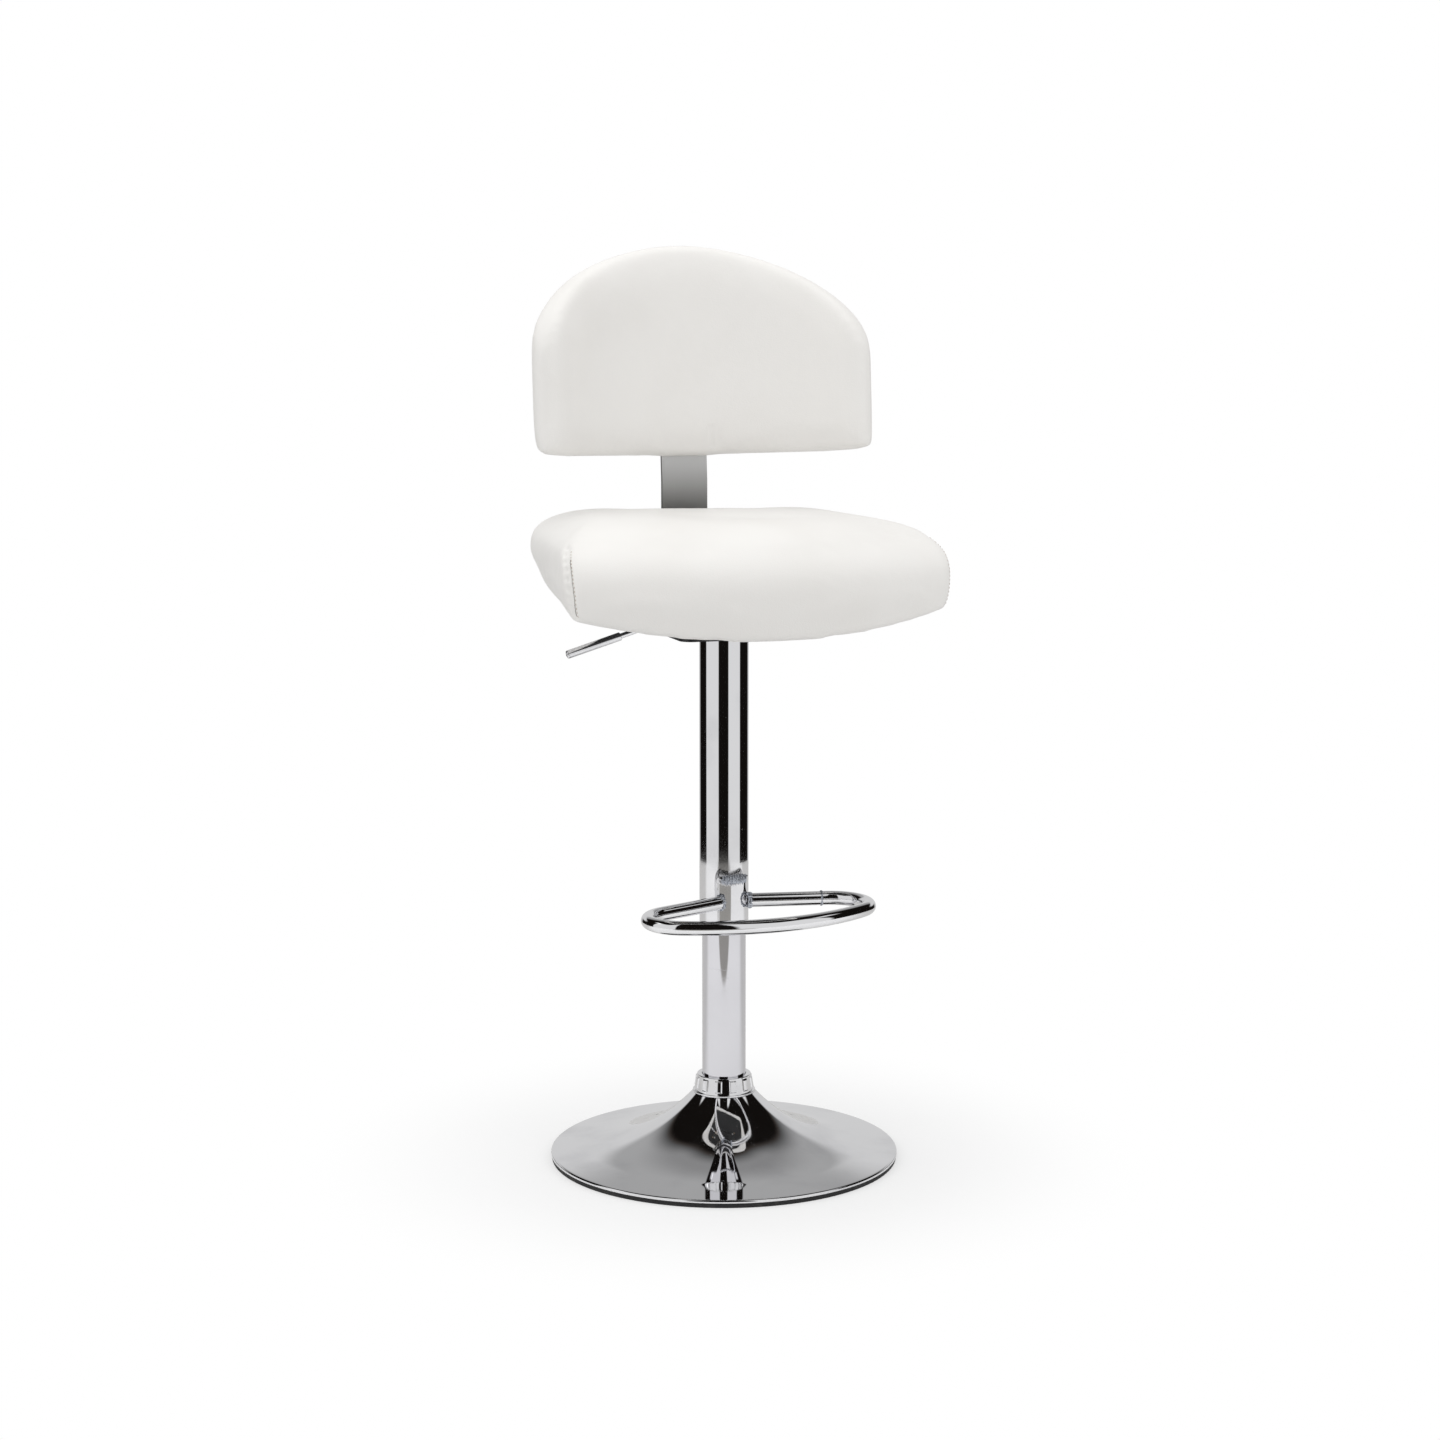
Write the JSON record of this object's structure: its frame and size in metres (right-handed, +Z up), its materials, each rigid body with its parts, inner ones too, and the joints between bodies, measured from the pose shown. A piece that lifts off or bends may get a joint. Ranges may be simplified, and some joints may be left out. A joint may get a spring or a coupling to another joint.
{
  "type": "bar stool",
  "caption": "Swivelling gas-lift bar stool with a padded seat, a curved padded back on a flat bar, a bent tube footrest, a release lever and a trumpet base.",
  "frame": {"origin": "on the floor, under the axis of the column, in the plane the rubber ring stands on", "axes": "+Z up along the column, -Y the way the seat faces, +X to the right of someone looking at the seat's front"},
  "size_m": [0.4418, 0.4, 1.0421],
  "materials": {
    "rubber_black": "matte",
    "chrome": "polished",
    "iron": "matte",
    "steel": "satin",
    "bolt_steel": "satin",
    "satin_steel": "satin",
    "tube_black": "satin",
    "plate_black": "satin",
    "plastic_black": "matte",
    "plywood": "matte",
    "white_leather": "satin",
    "dust_cloth": "matte"
  },
  "bodies": {
    "base": {"floor_ring": "rubber_black", "base_shell": "chrome", "base_ballast": "iron", "column_socket": "steel", "neck_collar": "chrome", "column_tube": "chrome", "guide_bush": "plastic_black", "bearing_lower_race": "steel", "bearing_balls": "steel", "bearing_cage": "plastic_black"},
    "rod": {"bearing_upper_race": "steel", "bump_stop": "rubber_black", "piston_rod": "steel", "rod_clip": "steel", "piston_head": "steel"},
    "seat": {"pressure_tube": "tube_black", "rod_seal": "plastic_black", "valve_body": "plastic_black", "cover_tube": "chrome", "cover_cap": "plastic_black", "cover_bush": "plastic_black", "footrest_saddle": "chrome", "footrest_ring": "chrome", "seat_plate": "plate_black", "seat_hub": "steel", "lever_bracket": "plate_black", "lever_pin": "steel", "seat_pan": "plywood", "tee_nuts": "steel", "seat_bolts": "bolt_steel", "seat_cushion": "white_leather", "dust_cover": "dust_cloth", "back_bar": "satin_steel", "bar_bolts": "bolt_steel", "back_board": "plywood", "back_bolts": "bolt_steel", "back_cushion": "white_leather"},
    "lever": {"lever_rod": "chrome", "lever_grip": "chrome"},
    "valve": {"valve_pin": "steel"}
  },
  "joints": [
    {"name": "swivel", "type": "hinge", "parent": "base", "child": "rod", "pos_m": [0, 0, 0], "axis": [0, 0, 1], "continuous": true},
    {"name": "lift", "type": "slide", "parent": "rod", "child": "seat", "axis": [0, 0, 1], "range_m": [-0.13, 0.085]},
    {"name": "lever_pull", "type": "hinge", "parent": "seat", "child": "lever", "pos_m": [-0.028, 0, 0.619], "axis": [0, 1, 0], "range_deg": [0, 5], "stiffness_Nm_per_rad": 1.5, "springref_deg": -5.73},
    {"name": "valve_press", "type": "slide", "parent": "seat", "child": "valve", "axis": [0, 0, -1], "range_m": [0, 0.003]}
  ],
  "couplings": [
    {"joint": "valve_press", "follows": "lever_pull", "m_per_rad": 0.028}
  ]
}
